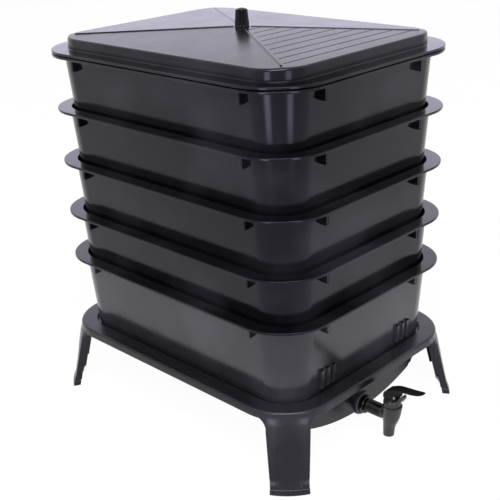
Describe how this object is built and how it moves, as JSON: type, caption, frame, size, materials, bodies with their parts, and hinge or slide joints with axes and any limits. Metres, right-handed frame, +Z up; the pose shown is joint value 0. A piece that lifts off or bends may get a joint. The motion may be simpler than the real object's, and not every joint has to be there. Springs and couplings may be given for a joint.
{
  "type": "stacking tray wormery",
  "caption": "Worm composter for the garden: nesting drained trays with a shallow hipped lid and knob on a splay-legged base whose rounded sump drains through a lever tap.",
  "frame": {"origin": "on the floor under the middle of the whole outline, tap and feet included", "axes": "+Z up, -Y the way the tap points, X across the short side"},
  "size_m": [0.41, 0.5804, 0.5963],
  "materials": {
    "black_polypropylene": "satin black, injection moulded",
    "gloss_black_plastic": "gloss black",
    "tap_plastic": "satin dark grey",
    "black_rubber": "matt black",
    "grey_silicone": "matt grey",
    "stainless_steel": "turned and brushed"
  },
  "bodies": {
    "base": {"base_stand": "black_polypropylene", "foot_cap_front_left": "black_rubber", "foot_cap_front_right": "black_rubber", "foot_cap_back_left": "black_rubber", "foot_cap_back_right": "black_rubber", "tap_body": "tap_plastic", "tap_bonnet": "tap_plastic", "tap_outer_washer": "black_rubber", "tap_inner_washer": "black_rubber", "tap_nut": "tap_plastic", "lever_pin": "stainless_steel"},
    "lowest_tray": {"tray_5": "black_polypropylene"},
    "fourth_tray": {"tray_4": "black_polypropylene"},
    "third_tray": {"tray_3": "black_polypropylene"},
    "second_tray": {"tray_2": "black_polypropylene"},
    "top_tray": {"tray_1": "black_polypropylene"},
    "lid_assembly": {"lid": "black_polypropylene", "lid_knob": "gloss_black_plastic", "knob_screw": "stainless_steel", "knob_washer": "stainless_steel"},
    "lever": {"tap_lever": "tap_plastic"},
    "valve": {"valve_stem": "tap_plastic", "valve_seat_cup": "grey_silicone"}
  },
  "joints": [
    {"name": "tray_5_lift", "type": "slide", "parent": "base", "child": "lowest_tray", "axis": [0, 0, 1], "range_m": [0, 0.1]},
    {"name": "tray_4_lift", "type": "slide", "parent": "lowest_tray", "child": "fourth_tray", "axis": [0, 0, 1], "range_m": [0, 0.1]},
    {"name": "tray_3_lift", "type": "slide", "parent": "fourth_tray", "child": "third_tray", "axis": [0, 0, 1], "range_m": [0, 0.1]},
    {"name": "tray_2_lift", "type": "slide", "parent": "third_tray", "child": "second_tray", "axis": [0, 0, 1], "range_m": [0, 0.1]},
    {"name": "tray_1_lift", "type": "slide", "parent": "second_tray", "child": "top_tray", "axis": [0, 0, 1], "range_m": [0, 0.1]},
    {"name": "lid_lift", "type": "slide", "parent": "top_tray", "child": "lid_assembly", "axis": [0, 0, 1], "range_m": [0, 0.1]},
    {"name": "lever_pivot", "type": "hinge", "parent": "base", "child": "lever", "pos_m": [0, -0.24418, 0.0815], "axis": [1, 0, 0], "range_deg": [0, 25], "stiffness_Nm_per_rad": 0.2, "springref_deg": -17.19},
    {"name": "valve_lift", "type": "slide", "parent": "base", "child": "valve", "axis": [0, 0, 1], "range_m": [0, 0.0035]}
  ],
  "couplings": [
    {"joint": "valve_lift", "follows": "lever_pivot", "m_per_rad": 0.00775}
  ]
}
